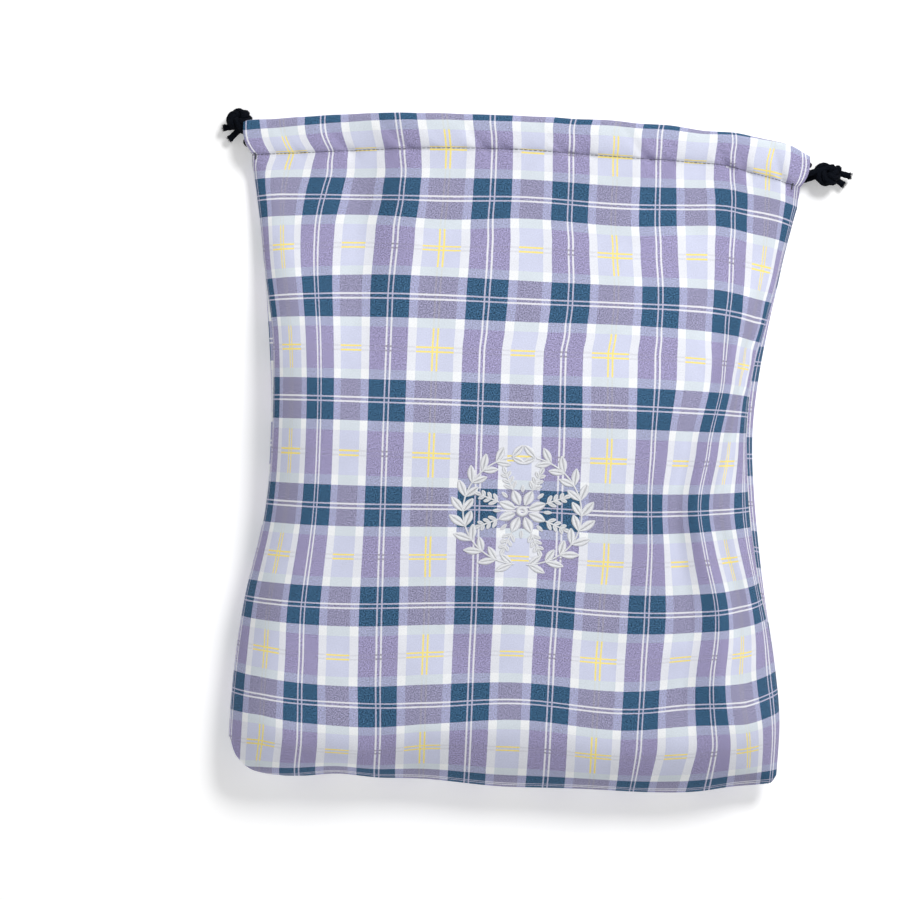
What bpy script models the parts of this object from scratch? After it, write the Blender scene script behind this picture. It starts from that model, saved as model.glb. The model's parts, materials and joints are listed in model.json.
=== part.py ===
"""Drawstring shoe bag, closed along its sides and lying on its back.

Metres, +Z up. +Y runs from the bottom seam to the mouth and +X to the bag's right. The origin is
on the flat underside. Two cut panels of cloth meet at a seam that runs round both sides and the
bottom. The top of each panel is turned in and stitched down as a hem, which makes a channel. Two
drawcords run through both channels: each goes once round the mouth, and its two ends are knotted
together outside the channels, one cord's at each side.
"""

import math

import bmesh
import bpy
import numpy as np
from mathutils import Vector

# ---- cloth ----
CLOTH = 0.0015  # thickness of one modelled layer of cloth
FACE_GAP = 0.0003  # left between pieces that touch
SEAM_LIP = 0.0020  # upright edge of each panel where the two panels meet

# ---- outline seen from above, as smooth curves through stations ----
# sides of the panels: (y, x) from the bottom corner to the hem's stitching
LEFT_SIDE = (
    (-0.2045, -0.1720), (-0.1860, -0.1790), (-0.1500, -0.1770), (-0.1000, -0.1725),
    (-0.0400, -0.1615), (0.0200, -0.1590), (0.0980, -0.1640), (0.1500, -0.1710), (0.1935, -0.1790),
)
RIGHT_SIDE = (
    (-0.2045, 0.1750), (-0.1780, 0.1780), (-0.1350, 0.1730), (-0.0820, 0.1640),
    (-0.0240, 0.1560), (0.0200, 0.1535), (0.0750, 0.1580), (0.1300, 0.1680), (0.1845, 0.1790),
)
# bottom edge, hem's stitching and hem's fold: (x, y) from left to right
BOTTOM_EDGE = (
    (-0.1720, -0.2045), (-0.1450, -0.2120), (-0.0950, -0.2090), (0.0200, -0.2105),
    (0.1150, -0.2120), (0.1600, -0.2075), (0.1750, -0.2045),
)
HEM_STITCH = (
    (-0.1790, 0.1935), (-0.1450, 0.1960), (-0.1120, 0.1985), (-0.0090, 0.2020),
    (0.0700, 0.2000), (0.1060, 0.1970), (0.1425, 0.1907), (0.1790, 0.1845),
)
HEM_FOLD = (
    (-0.1850, 0.2130), (-0.1500, 0.2168), (-0.1150, 0.2205), (-0.0400, 0.2225),
    (0.0500, 0.2215), (0.1100, 0.2175), (0.1475, 0.2105), (0.1850, 0.2035),
)

# ---- heights ----
BELLY_HEIGHT = 0.0590  # top of the filled-out front panel
SEAM_HEIGHT = ((-0.2120, 0.0220), (-0.0600, 0.0260), (0.0600, 0.0240), (0.1400, 0.0140), (0.2000, 0.0087))
SIDE_RUN = 0.038  # how far in from the seam the belly reaches its full height
BOTTOM_RUN = 0.036
NECK_START = 0.000  # y where the belly starts to fall towards the mouth
NECK_SIDE_RUN = 0.008  # side run at the hem
BACK_NECK = 0.014  # length over which the back panel lifts to its stitching
SLIT = 0.012  # each side seam stops this far below the stitching

# ---- hems ----
HEM_HALF = 0.00425  # half the outer height of a hem's tube
PINCH = 0.00165  # half the outer height where the stitching holds both layers
BACK_HEM_MID = HEM_HALF
MOUTH_END_GAP = 0.0004
MOUTH_GAP = 0.0092  # gap between the two hems at the middle of the mouth
MOUTH_HALF_WIDTH = 0.119
MOUTH_LEVEL_PART = 0.070  # the gap keeps its height this far each side of the middle
# a hem's section after the stitching: (share of the way to the fold, height as a share of HEM_HALF)
HEM_LEAF = ((0.10, 0.66), (0.22, 0.94), (0.34, 1.0), (0.56, 1.0))
HEM_FOLD_ANGLES = (90, 60, 30, 0, -30, -60, -90)
HEM_TUCK = 0.004  # cut edge below the stitching, inside

# ---- drawcords ----
CORD_R = 0.0018
# each cord's place in the front and back hems, as a share of the way from stitching to fold
RIGHT_LANES = (0.46, 0.28)
LEFT_LANES = (0.74, 0.74)
PULL_LENGTH = 0.060  # straight length of each moving strand inside the hem
RIGHT_PULL = Vector((0.984, -0.176, 0.0)).normalized()
LEFT_PULL = Vector((-0.995, -0.099, 0.0)).normalized()
KNOT_RADII = Vector((0.0072, 0.0080, 0.0070))
RIGHT_KNOT = Vector((0.1968, 0.1917, 0.0085))
LEFT_KNOT = Vector((-0.1932, 0.2128, 0.0080))
RIGHT_TAILS = (Vector((0.2125, 0.1930, 0.0060)), Vector((0.2070, 0.1815, 0.0050)))
LEFT_TAILS = (Vector((-0.2050, 0.2065, 0.0060)), Vector((-0.1965, 0.1985, 0.0050)))

# ---- seams, stitching and embroidery ----
ALLOWANCE = 0.008  # width of the overlocked seam allowance inside
ALLOWANCE_THICK = 0.0016
THREAD_R = 0.00035
BARTACK = Vector((0.0016, 0.0060, 0.0007))
EMBLEM_CENTRE = (0.0040, -0.0355)
EMBLEM_PETALS = 8
EMBLEM_R = 0.050
EMBLEM_THICK = 0.0008
BACKING_HALF = (0.058, 0.056)
BACKING_THICK = 0.0006
BACKING_GAP = 0.0010  # behind the cloth, which is a little flatter than the true curve

# ---- mesh density ----
EDGE_ANGLES = (0, 22, 42, 64, 90)
ACROSS = 15
ALONG = 15

MATERIALS = {
    "plaid_cloth": ((0.560, 0.540, 0.690), 0.90),
    "seam_thread": ((0.760, 0.750, 0.820), 0.85),
    "hem_thread": ((0.030, 0.030, 0.040), 0.80),
    "emblem_thread": ((0.920, 0.930, 0.960), 0.55),
    "backing": ((0.850, 0.850, 0.850), 0.95),
    "cord": ((0.012, 0.012, 0.015), 0.75),
}


def smooth(stations, at):
    """The value at a position on the smooth curve through (position, value) stations."""
    places = np.array([s[0] for s in stations])
    values = np.array([s[1] for s in stations])
    slopes = np.gradient(values, places)
    at = min(max(at, places[0]), places[-1])
    i = min(max(int(np.searchsorted(places, at)) - 1, 0), len(places) - 2)
    step = places[i + 1] - places[i]
    q = (at - places[i]) / step
    start = (2 * q**3 - 3 * q**2 + 1) * values[i] + (q**3 - 2 * q**2 + q) * step * slopes[i]
    end = (3 * q**2 - 2 * q**3) * values[i + 1] + (q**3 - q**2) * step * slopes[i + 1]
    return float(start + end)


def ease(q):
    """0 to 1, level at both ends."""
    q = min(max(q, 0.0), 1.0)
    return q * q * (3 - 2 * q)


def mix(a, b, q):
    return a + (b - a) * q


def material(slot):
    mat = bpy.data.materials.get(slot)
    if mat is None:
        mat = bpy.data.materials.new(slot)
        mat.use_nodes = True
        colour, roughness = MATERIALS[slot]
        shader = mat.node_tree.nodes["Principled BSDF"]
        shader.inputs["Base Color"].default_value = (*colour, 1.0)
        shader.inputs["Roughness"].default_value = roughness
        shader.inputs["Metallic"].default_value = 0.0
    return mat


def add_mesh(name, bm, slot, at=(0.0, 0.0, 0.0)):
    """Makes a mesh object from bm, whose vertices are in world space, with its origin at a point."""
    mesh = bpy.data.meshes.new(name)
    bmesh.ops.translate(bm, verts=bm.verts, vec=-Vector(at))
    bm.to_mesh(mesh)
    bm.free()
    mesh.shade_smooth()
    mesh.set_sharp_from_angle(angle=math.radians(40))
    mesh.materials.append(material(slot))
    obj = bpy.data.objects.new(name, mesh)
    obj.location = at
    bpy.context.scene.collection.objects.link(obj)
    return obj


def grid(rows):
    """A bmesh of quads through rows of points, which face up when x and y both rise."""
    bm = bmesh.new()
    verts = [[bm.verts.new(p) for p in row] for row in rows]
    for low, high in zip(verts, verts[1:]):
        for i in range(len(low) - 1):
            bm.faces.new((low[i], low[i + 1], high[i + 1], high[i]))
    return bm, verts


def thicken(obj, thickness, offset=-1.0):
    solid = obj.modifiers.new("thickness", "SOLIDIFY")
    solid.thickness = thickness
    solid.offset = offset
    solid.use_even_offset = True


# ---- the shape of the bag ----


def stitch_point(share):
    """A point of the hem's stitching in plan, at a share of the way from left to right."""
    x = mix(HEM_STITCH[0][0], HEM_STITCH[-1][0], share)
    return Vector((x, smooth(HEM_STITCH, x), 0.0))


def fold_point(share):
    x = mix(HEM_FOLD[0][0], HEM_FOLD[-1][0], share)
    return Vector((x, smooth(HEM_FOLD, x), 0.0))


def plan_point(share, rise):
    """A point of a panel in plan: a share across it, and a share up it from bottom to stitching."""
    bottom_x = mix(BOTTOM_EDGE[0][0], BOTTOM_EDGE[-1][0], share)
    bottom = Vector((bottom_x, smooth(BOTTOM_EDGE, bottom_x), 0.0))
    left_y = mix(LEFT_SIDE[0][0], LEFT_SIDE[-1][0], rise)
    left = Vector((smooth(LEFT_SIDE, left_y), left_y, 0.0))
    right_y = mix(RIGHT_SIDE[0][0], RIGHT_SIDE[-1][0], rise)
    right = Vector((smooth(RIGHT_SIDE, right_y), right_y, 0.0))
    along = bottom.lerp(stitch_point(share), rise)
    across = left.lerp(right, share)
    bottom_left = Vector((*reversed(LEFT_SIDE[0]), 0.0))
    bottom_right = Vector((*reversed(RIGHT_SIDE[0]), 0.0))
    corners = bottom_left.lerp(bottom_right, share).lerp(
        stitch_point(0).lerp(stitch_point(1), share), rise
    )
    return along + across - corners


def mouth_mid(x):
    """Height of the front hem's middle."""
    open_share = 1 - ease((abs(x) - MOUTH_LEVEL_PART) / (MOUTH_HALF_WIDTH - MOUTH_LEVEL_PART))
    gap = mix(MOUTH_END_GAP, MOUTH_GAP, open_share)
    return 2 * HEM_HALF + gap + HEM_HALF


def neck_share(y, x):
    """0 on the belly, 1 at the hem's stitching."""
    stitch_y = smooth(HEM_STITCH, x)
    return ease((y - NECK_START) / (stitch_y - NECK_START))


def front_crest(x, y):
    """Height of the front panel's outside, away from its seams."""
    return mix(BELLY_HEIGHT, mouth_mid(x) + PINCH, neck_share(y, x))


def back_crest(x, y):
    """Height of the back panel's outside, which is flat until just below the hem."""
    rise = ease((y - smooth(HEM_STITCH, x) + BACK_NECK) / BACK_NECK)
    return mix(0.0, BACK_HEM_MID - PINCH, rise)


def shares_across(run_share):
    """Shares across a panel: close together where each side curves over, then even."""
    edge = [run_share * (1 - math.cos(math.radians(a))) for a in EDGE_ANGLES]
    middle = [mix(run_share, 1 - run_share, (i + 1) / ACROSS) for i in range(ACROSS - 1)]
    swell = [math.sin(math.radians(a)) for a in EDGE_ANGLES]
    shares = edge + middle + [1 - e for e in reversed(edge)]
    return shares, swell + [1.0] * len(middle) + swell[::-1]


def rises():
    """Shares up a panel, with how far each has swelled out from the bottom seam."""
    length = HEM_STITCH[3][1] - BOTTOM_EDGE[3][1]
    run = BOTTOM_RUN / length
    edge = [(run * (1 - math.cos(math.radians(a))), math.sin(math.radians(a))) for a in EDGE_ANGLES]
    last = 1 - BACK_NECK / length
    middle = [(mix(run, last, (i + 1) / ALONG), 1.0) for i in range(ALONG)]
    neck = [(1 - BACK_NECK * q / length, 1.0) for q in (SLIT / BACK_NECK, 0.5, 0.2, 0.0)]
    return edge + middle + neck


def panel_rows(crest, side):
    """Rows of the outside of a panel. side is 1 for the front, which swells up, and -1 for the back."""
    rows = []
    for rise, swell_up in rises():
        centre = plan_point(0.5, rise)
        width = plan_point(1.0, rise).x - plan_point(0.0, rise).x
        run = mix(SIDE_RUN, NECK_SIDE_RUN, neck_share(centre.y, 0.0))
        shares, swells = shares_across(run / width)
        row = []
        for share, swell in zip(shares, swells):
            p = plan_point(share, rise)
            base = smooth(SEAM_HEIGHT, p.y) + side * (FACE_GAP / 2 + SEAM_LIP)
            top = crest(p.x, p.y)
            level = ease((p.y - smooth(HEM_STITCH, p.x) + SLIT) / SLIT)
            base = mix(base, top, level)
            row.append(Vector((p.x, p.y, mix(base, top, swell * swell_up))))
        rows.append(row)
    return rows


def hem_shares():
    """The shares across the hem where its facets meet."""
    width = plan_point(1.0, 1.0).x - plan_point(0.0, 1.0).x
    return shares_across(NECK_SIDE_RUN / width)[0]


def hem_rows(mid_height, side):
    """Rows of the outside of the hem: up its outer leaf, round the fold, back down the inner leaf."""
    shares = hem_shares()
    depth = (fold_point(0.5) - stitch_point(0.5)).length
    fold_start = 1 - HEM_HALF / depth
    section = list(HEM_LEAF)
    for angle in HEM_FOLD_ANGLES:
        a = math.radians(angle)
        section.append((fold_start + HEM_HALF / depth * math.cos(a), math.sin(a)))
    section += [(share, -height) for share, height in reversed(HEM_LEAF)]
    section += [(0.0, -PINCH / HEM_HALF), (-HEM_TUCK / depth, -PINCH / HEM_HALF)]
    rows = []
    for along, height in section:
        row = []
        for share in shares:
            p = stitch_point(share).lerp(fold_point(share), along)
            mid = mid_height(stitch_point(share).x)
            row.append(Vector((p.x, p.y, mid + side * HEM_HALF * height)))
        rows.append(row)
    return rows


def panel(name, crest, mid_height, side):
    """One panel of cloth with its turned hem. Its edges stand upright where they meet the other's."""
    body = panel_rows(crest, side)
    bm, verts = grid(body + hem_rows(mid_height, side))
    sewn_rows = len(body) - 3
    edge = [verts[i][0] for i in range(sewn_rows - 1, 0, -1)] + verts[0]
    edge += [verts[i][-1] for i in range(1, sewn_rows)]
    lip = [bm.verts.new(v.co - Vector((0, 0, side * SEAM_LIP))) for v in edge]
    for i in range(len(edge) - 1):
        bm.faces.new((edge[i], lip[i], lip[i + 1], edge[i + 1]))
    if side < 0:
        bmesh.ops.reverse_faces(bm, faces=bm.faces)
    obj = add_mesh(name, bm, "plaid_cloth")
    thicken(obj, CLOTH)
    return obj


def back_mid(_x):
    return BACK_HEM_MID


# ---- seams, stitching and embroidery ----


def seam_strip(name, outer, inward):
    """An overlocked allowance along the inside of a seam: outer points, and the way in from each."""
    start = CLOTH + FACE_GAP
    rows = [[p + w * (start + d) for p, w in zip(outer, inward)] for d in (0.0, ALLOWANCE)]
    bm, _ = grid(rows)
    bmesh.ops.recalc_face_normals(bm, faces=bm.faces)
    obj = add_mesh(name, bm, "seam_thread")
    thicken(obj, ALLOWANCE_THICK, 0.0)
    return obj


def side_seam(name, side):
    stations = LEFT_SIDE if side < 0 else RIGHT_SIDE
    low = stations[0][0] + ALLOWANCE + 0.010
    high = stations[-1][0] - SLIT
    ys = np.linspace(low, high, 26)
    outer = [Vector((smooth(stations, y), y, smooth(SEAM_HEIGHT, y))) for y in ys]
    return seam_strip(name, outer, [Vector((-side, 0, 0))] * len(outer))


def bottom_seam():
    xs = np.linspace(BOTTOM_EDGE[0][0] + 0.022, BOTTOM_EDGE[-1][0] - 0.022, 22)
    outer = []
    for x in xs:
        y = smooth(BOTTOM_EDGE, x)
        outer.append(Vector((x, y, smooth(SEAM_HEIGHT, y))))
    return seam_strip("bottom_seam", outer, [Vector((0, 1, 0))] * len(outer))


def tube(name, points, radius, slot, origin=(0.0, 0.0, 0.0), sides_level=2):
    """A capped tube through points in world space."""
    curve = bpy.data.curves.new(name, "CURVE")
    curve.dimensions = "3D"
    curve.bevel_depth = radius
    curve.bevel_resolution = sides_level
    curve.use_fill_caps = True
    curve.render_resolution_u = 0
    spline = curve.splines.new("POLY")
    spline.points.add(len(points) - 1)
    for target, p in zip(spline.points, points):
        target.co = (*(Vector(p) - Vector(origin)), 1.0)
    curve.materials.append(material(slot))
    obj = bpy.data.objects.new(name, curve)
    obj.location = origin
    bpy.context.scene.collection.objects.link(obj)
    return obj


def hem_stitching(name, mid_height, side):
    points = []
    for share in hem_shares()[1:-1]:
        p = stitch_point(share)
        p.z = mid_height(p.x) + side * (PINCH + FACE_GAP + 1.4 * THREAD_R)
        points.append(p)
    return tube(name, points, THREAD_R, "hem_thread", sides_level=1)


def bartack(name, share, mid_height, side):
    """A short bar of thread across the hem's stitching, at its end."""
    p = stitch_point(share).lerp(fold_point(share), -0.16)
    level = mid_height(p.x) + side * PINCH
    height = level + side * (0.0011 + FACE_GAP + BARTACK.z / 2)
    bm = bmesh.new()
    bmesh.ops.create_cube(bm, size=1.0)
    bmesh.ops.scale(bm, verts=bm.verts, vec=BARTACK)
    bmesh.ops.bevel(bm, geom=bm.edges[:], offset=0.0002, segments=1, affect="EDGES")
    bmesh.ops.translate(bm, verts=bm.verts, vec=(p.x, p.y, height))
    return add_mesh(name, bm, "hem_thread", (p.x, p.y, height))


def on_front(x, y, lift):
    return Vector((x, y, front_crest(x, y) + lift))


def emblem():
    """A raised eight-petal rosette of satin stitch, as one disc with a petalled rim."""
    spokes = EMBLEM_PETALS * 8
    rings = (0.30, 0.62, 1.0)
    bm = bmesh.new()
    centre = bm.verts.new(on_front(*EMBLEM_CENTRE, FACE_GAP))
    loops = []
    for ring in rings:
        loop = []
        for i in range(spokes):
            angle = 2 * math.pi * i / spokes
            petal = abs(math.cos(EMBLEM_PETALS / 2 * angle))
            r = EMBLEM_R * ring * mix(0.74, 1.0, petal * ring)
            x = EMBLEM_CENTRE[0] + r * math.cos(angle)
            y = EMBLEM_CENTRE[1] + r * math.sin(angle)
            loop.append(bm.verts.new(on_front(x, y, FACE_GAP)))
        loops.append(loop)
    for i in range(spokes):
        j = (i + 1) % spokes
        bm.faces.new((centre, loops[0][i], loops[0][j]))
        for inner, outer in zip(loops, loops[1:]):
            bm.faces.new((inner[i], outer[i], outer[j], inner[j]))
    obj = add_mesh("embroidered_emblem", bm, "emblem_thread")
    thicken(obj, EMBLEM_THICK, 1.0)
    return obj


def backing():
    """The sheet of stabiliser that stays behind the embroidery, inside the bag."""
    steps = np.linspace(-1, 1, 9)
    depth = -(CLOTH + BACKING_GAP)
    rows = []
    for v in steps:
        y = EMBLEM_CENTRE[1] + v * BACKING_HALF[1]
        rows.append([on_front(EMBLEM_CENTRE[0] + u * BACKING_HALF[0], y, depth) for u in steps])
    bm, _ = grid(rows)
    obj = add_mesh("embroidery_backing", bm, "backing")
    thicken(obj, BACKING_THICK)
    return obj


# ---- drawcords ----


def lane_point(share, lane, front):
    """A point on a cord's line inside the front or the back hem."""
    p = stitch_point(share).lerp(fold_point(share), lane)
    p.z = mouth_mid(stitch_point(share).x) if front else BACK_HEM_MID
    return p


def curve_through(points, spacing):
    """Evenly spaced points on the smooth curve through some points."""
    pts = [2 * points[0] - points[1], *points, 2 * points[-1] - points[-2]]
    fine = []
    for a, b, c, d in zip(pts, pts[1:], pts[2:], pts[3:]):
        for i in range(16):
            q = i / 16
            fine.append(
                0.5 * (2 * b + (c - a) * q + (2 * a - 5 * b + 4 * c - d) * q**2
                       + (3 * b - a - 3 * c + d) * q**3)
            )
    fine.append(points[-1])
    lengths = np.cumsum([0.0] + [(q - p).length for p, q in zip(fine, fine[1:])])
    count = max(2, round(lengths[-1] / spacing))
    coords = [np.interp(np.linspace(0, lengths[-1], count + 1), lengths, [p[k] for p in fine])
              for k in range(3)]
    return [Vector(c) for c in zip(*coords)]


def exit_point(lanes, front, end):
    """Where a cord leaves a hem. end is 0 at the left and 1 at the right."""
    return lane_point(end, lanes[0] if front else lanes[1], front)


def cord_end(prefix, lanes, end, pull, knot, tails):
    """The moving end of a drawcord: its knot, two tails and the two strands it draws out."""
    bm = bmesh.new()
    bmesh.ops.create_uvsphere(bm, u_segments=20, v_segments=12, radius=1.0)
    for v in bm.verts:
        turn = math.atan2(v.co.y, v.co.x) + 2.0 * v.co.z
        v.co *= 0.94 + 0.06 * math.cos(3 * turn) * (1 - v.co.z**2)
    bmesh.ops.scale(bm, verts=bm.verts, vec=KNOT_RADII)
    bmesh.ops.translate(bm, verts=bm.verts, vec=knot)
    add_mesh(prefix + "_knot", bm, "cord", knot)
    reach = max(KNOT_RADII) + FACE_GAP
    for front, name in ((True, "_front_strand"), (False, "_back_strand")):
        leave = exit_point(lanes, front, end)
        start = leave - pull * PULL_LENGTH
        inside = [start.lerp(leave, q / 6) for q in range(7)]
        bend = leave + pull * 2 * CORD_R
        inward = (bend - knot).normalized()
        stop = knot + inward * reach
        points = curve_through([*inside, bend.lerp(stop, 0.4), stop], 2.4 * CORD_R * 2)
        tube(prefix + name, points, CORD_R, "cord", knot)
    for tip, name in zip(tails, ("_long_tail", "_short_tail")):
        out = (tip - knot).normalized()
        start = knot + out * reach
        points = [start.lerp(tip, q / 3) for q in range(4)]
        tube(prefix + name, points, CORD_R * 0.95, "cord", knot)


def cord_run(name, lanes, end, pull):
    """The rest of a drawcord, which stays in the hems and turns round at the far side."""
    far = 1 - end
    out = Vector((1 if far else -1, 0, 0))
    gap = 0.001
    points = []
    inner = exit_point(lanes, True, end) - pull * (PULL_LENGTH + gap)
    inner_share = (inner.x - HEM_STITCH[0][0]) / (HEM_STITCH[-1][0] - HEM_STITCH[0][0])
    low, high = sorted((inner_share, far))
    shares = [s for s in hem_shares() if low + 0.01 < s < high - 0.03] + [far]
    shares.sort(reverse=far == 0)
    points.append(inner)
    points += [lane_point(s, lanes[0], True) for s in shares]
    turn_front, turn_back = exit_point(lanes, True, far), exit_point(lanes, False, far)
    half = (turn_front.z - turn_back.z) / 2
    for angle in (60, 20, -20, -60):
        a = math.radians(angle)
        p = turn_back.lerp(turn_front, 0.5 + 0.5 * math.sin(a))
        points.append(p + out * half * math.cos(a))
    points += [lane_point(s, lanes[1], False) for s in reversed(shares)]
    points.append(exit_point(lanes, False, end) - pull * (PULL_LENGTH + gap))
    return tube(name, curve_through(points, 2.1 * CORD_R * 2), CORD_R, "cord")


def build():
    for obj in list(bpy.data.objects):
        bpy.data.objects.remove(obj)
    panel("front_panel", front_crest, mouth_mid, 1)
    panel("back_panel", back_crest, back_mid, -1)
    side_seam("left_side_seam", -1)
    side_seam("right_side_seam", 1)
    bottom_seam()
    hem_stitching("front_hem_stitching", mouth_mid, 1)
    hem_stitching("back_hem_stitching", back_mid, -1)
    for end, share in (("left", 0.004), ("right", 0.996)):
        bartack(f"front_{end}_bartack", share, mouth_mid, 1)
        bartack(f"back_{end}_bartack", share, back_mid, -1)
    emblem()
    backing()
    cord_end("right_cord", RIGHT_LANES, 1, RIGHT_PULL, RIGHT_KNOT, RIGHT_TAILS)
    cord_end("left_cord", LEFT_LANES, 0, LEFT_PULL, LEFT_KNOT, LEFT_TAILS)
    cord_run("right_cord_run", RIGHT_LANES, 1, RIGHT_PULL)
    cord_run("left_cord_run", LEFT_LANES, 0, LEFT_PULL)


build()
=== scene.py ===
"""Looks of the drawstring shoe bag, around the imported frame.

Metres, in the frame's own axes: +Y from the bottom seam to the mouth, +X to the bag's right, +Z up.
The cloth is made from its flat cut. u runs across a panel and v up it, and every point of the cut
has its place on the filled-out bag, so the printed check lies and bends as the cloth does.
"""

import json
import math

import bpy
import numpy as np
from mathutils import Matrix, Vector, noise


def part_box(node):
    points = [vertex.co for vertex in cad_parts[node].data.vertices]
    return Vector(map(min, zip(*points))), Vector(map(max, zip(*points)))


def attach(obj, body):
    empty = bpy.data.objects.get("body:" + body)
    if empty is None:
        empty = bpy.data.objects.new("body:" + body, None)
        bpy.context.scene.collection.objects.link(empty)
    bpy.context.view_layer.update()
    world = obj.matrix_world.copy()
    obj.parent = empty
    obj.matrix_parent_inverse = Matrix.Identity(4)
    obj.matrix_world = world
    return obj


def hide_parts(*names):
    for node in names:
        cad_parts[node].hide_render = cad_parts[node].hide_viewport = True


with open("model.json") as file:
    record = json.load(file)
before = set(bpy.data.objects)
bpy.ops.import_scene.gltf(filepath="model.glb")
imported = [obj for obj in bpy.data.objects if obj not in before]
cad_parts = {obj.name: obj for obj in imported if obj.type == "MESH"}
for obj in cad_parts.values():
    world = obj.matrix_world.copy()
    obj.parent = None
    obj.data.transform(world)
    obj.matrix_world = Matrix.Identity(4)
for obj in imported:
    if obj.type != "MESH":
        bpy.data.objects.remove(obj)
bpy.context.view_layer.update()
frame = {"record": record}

# ---- the frame's places ----
EMBLEM_LOW, EMBLEM_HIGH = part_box("embroidered_emblem")
EMBLEM_CENTRE = (EMBLEM_LOW + EMBLEM_HIGH) / 2
JOINTS = {joint["name"]: joint for joint in frame["record"]["behaviour"]["joints"]}
RIGHT_PULL = np.array(JOINTS["right_drawcord_pull"]["axis"])
LEFT_PULL = np.array(JOINTS["left_drawcord_pull"]["axis"])

UP = np.array([0.0, 0.0, 1.0])

# ---- the cut cloth ----
CUT_LEFT, CUT_RIGHT = -0.003, 0.406  # the panel's cut edges, from the first dotted band's middle
PANEL = 0.4485  # bottom seam to the hem's stitching, flat
HEM_LEAF = 0.0265  # stitching to fold, flat
HEM_TUCK = 0.005  # turned-in edge below the stitching
CLOTH_THICK = 0.0006
STEP = 0.0025  # mesh spacing on the flat cloth

# ---- the printed check, on the flat cloth ----
REPEAT_U, REPEAT_V = 0.1128, 0.0689
BAND = 0.02535  # width of each dark column
WIDE_LIGHT = 0.0354  # light column with the yellow cross
NARROW_LIGHT = 0.02665
DARK_ROW = 0.0273
RIM = 0.0056  # white rim of a light column
ROW_RIM = 0.0065
PAIR = 0.00145  # each line of a fine pair, from the pair's middle
PAIR_HALF = 0.00060
TEAL_PAIR_HALF = 0.00048
YELLOW_HALF = 0.00058

# ---- outline seen from above, close to the frame's design: smooth curves through stations ----
LEFT_SIDE = (
    (-0.2105, -0.181), (-0.186, -0.181), (-0.15, -0.1792), (-0.1, -0.1738),
    (-0.04, -0.1625), (0.02, -0.1603), (0.098, -0.1658), (0.15, -0.1722), (0.1935, -0.179),
)
RIGHT_SIDE = (
    (-0.2105, 0.1767), (-0.178, 0.1775), (-0.135, 0.1716), (-0.082, 0.163),
    (-0.024, 0.156), (0.02, 0.1535), (0.075, 0.158), (0.13, 0.168), (0.1845, 0.179),
)
BOTTOM_EDGE = (
    (-0.18, -0.2135), (-0.143, -0.21), (-0.108, -0.205), (-0.08, -0.2086), (-0.05, -0.2106),
    (0.02, -0.2108), (0.095, -0.2122), (0.127, -0.2096), (0.148, -0.2058), (0.1775, -0.203),
)
# the corners, where the cloth turns straight down: (x, y)
CORNERS = (
    (-0.18, -0.187), (-0.1775, -0.1946), (-0.172, -0.2024), (-0.166, -0.2072), (-0.1585, -0.2099),
    (-0.145, -0.2117), (-0.131, -0.2124), (-0.12, -0.216), (0.15, -0.22), (0.165, -0.2085),
    (0.174, -0.205), (0.1775, -0.199),
)
HEM_STITCH = (
    (-0.179, 0.1935), (-0.145, 0.196), (-0.112, 0.1985), (-0.009, 0.202), (0.07, 0.199),
    (0.106, 0.1982), (0.1345, 0.1962), (0.1465, 0.193), (0.1665, 0.1882), (0.179, 0.1842),
)
HEM_FOLD = (
    (-0.1855, 0.215), (-0.15, 0.2188), (-0.115, 0.222), (-0.04, 0.2236),
    (0.05, 0.2226), (0.11, 0.2196), (0.145, 0.2166), (0.174, 0.2096), (0.1855, 0.2042),
)

# ---- how the cloth lies ----
# where the check's dark columns run on level cloth: (u, x)
COLUMNS = (
    (-0.003, -0.1865), (0.0, -0.184), (0.0608, -0.133), (0.1128, -0.085), (0.1736, -0.0245),
    (0.2256, 0.0275), (0.2863, 0.086), (0.3383, 0.134), (0.3991, 0.177), (0.406, 0.1835),
)
LEFT_INNER, RIGHT_INNER = 0.1128, 0.2863  # beyond these u the cloth rolls over towards each side
BOTTOM_ARC = 0.054  # cloth that rolls over the bottom edge
# where its dark rows lie: (v, y)
ROWS = (
    (0.0, -0.2105), (0.0137, -0.2035), (0.0345, -0.1885), (0.054, -0.173), (0.1, -0.1335),
    (0.1378, -0.099), (0.2067, -0.034), (0.2756, 0.035), (0.3445, 0.1015), (0.4135, 0.1672),
    (0.4485, 0.2015),
)
# how fast the cloth closes up towards each side: (y, power)
RIGHT_ROLL = (
    (-0.21, 1.15), (-0.15, 1.0), (-0.096, 1.32), (-0.035, 1.08), (0.02, 1.42),
    (0.1, 1.42), (0.165, 1.16), (0.19, 1.07),
)
LEFT_ROLL = ((-0.21, 1.18), (-0.1, 1.25), (0.02, 1.35), (0.13, 1.38), (0.17, 1.2), (0.2, 1.0))
# rise of the rows towards the right and left sides: (y, lift)
RIGHT_BEND = ((-0.21, 0.0), (-0.16, 0.013), (-0.096, 0.009), (-0.02, 0.002), (0.16, -0.001), (0.2, 0.0))
LEFT_BEND = ((-0.21, 0.0), (-0.16, 0.005), (-0.096, 0.002), (0.03, 0.0), (0.16, -0.001), (0.2, 0.0))
BEND_POWER = 2.2  # they rise mostly near the sides
BOTTOM_REACH = 0.11  # the rows follow the bottom edge this far up
TOP_START = 0.27  # and the hem's line from here on
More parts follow.
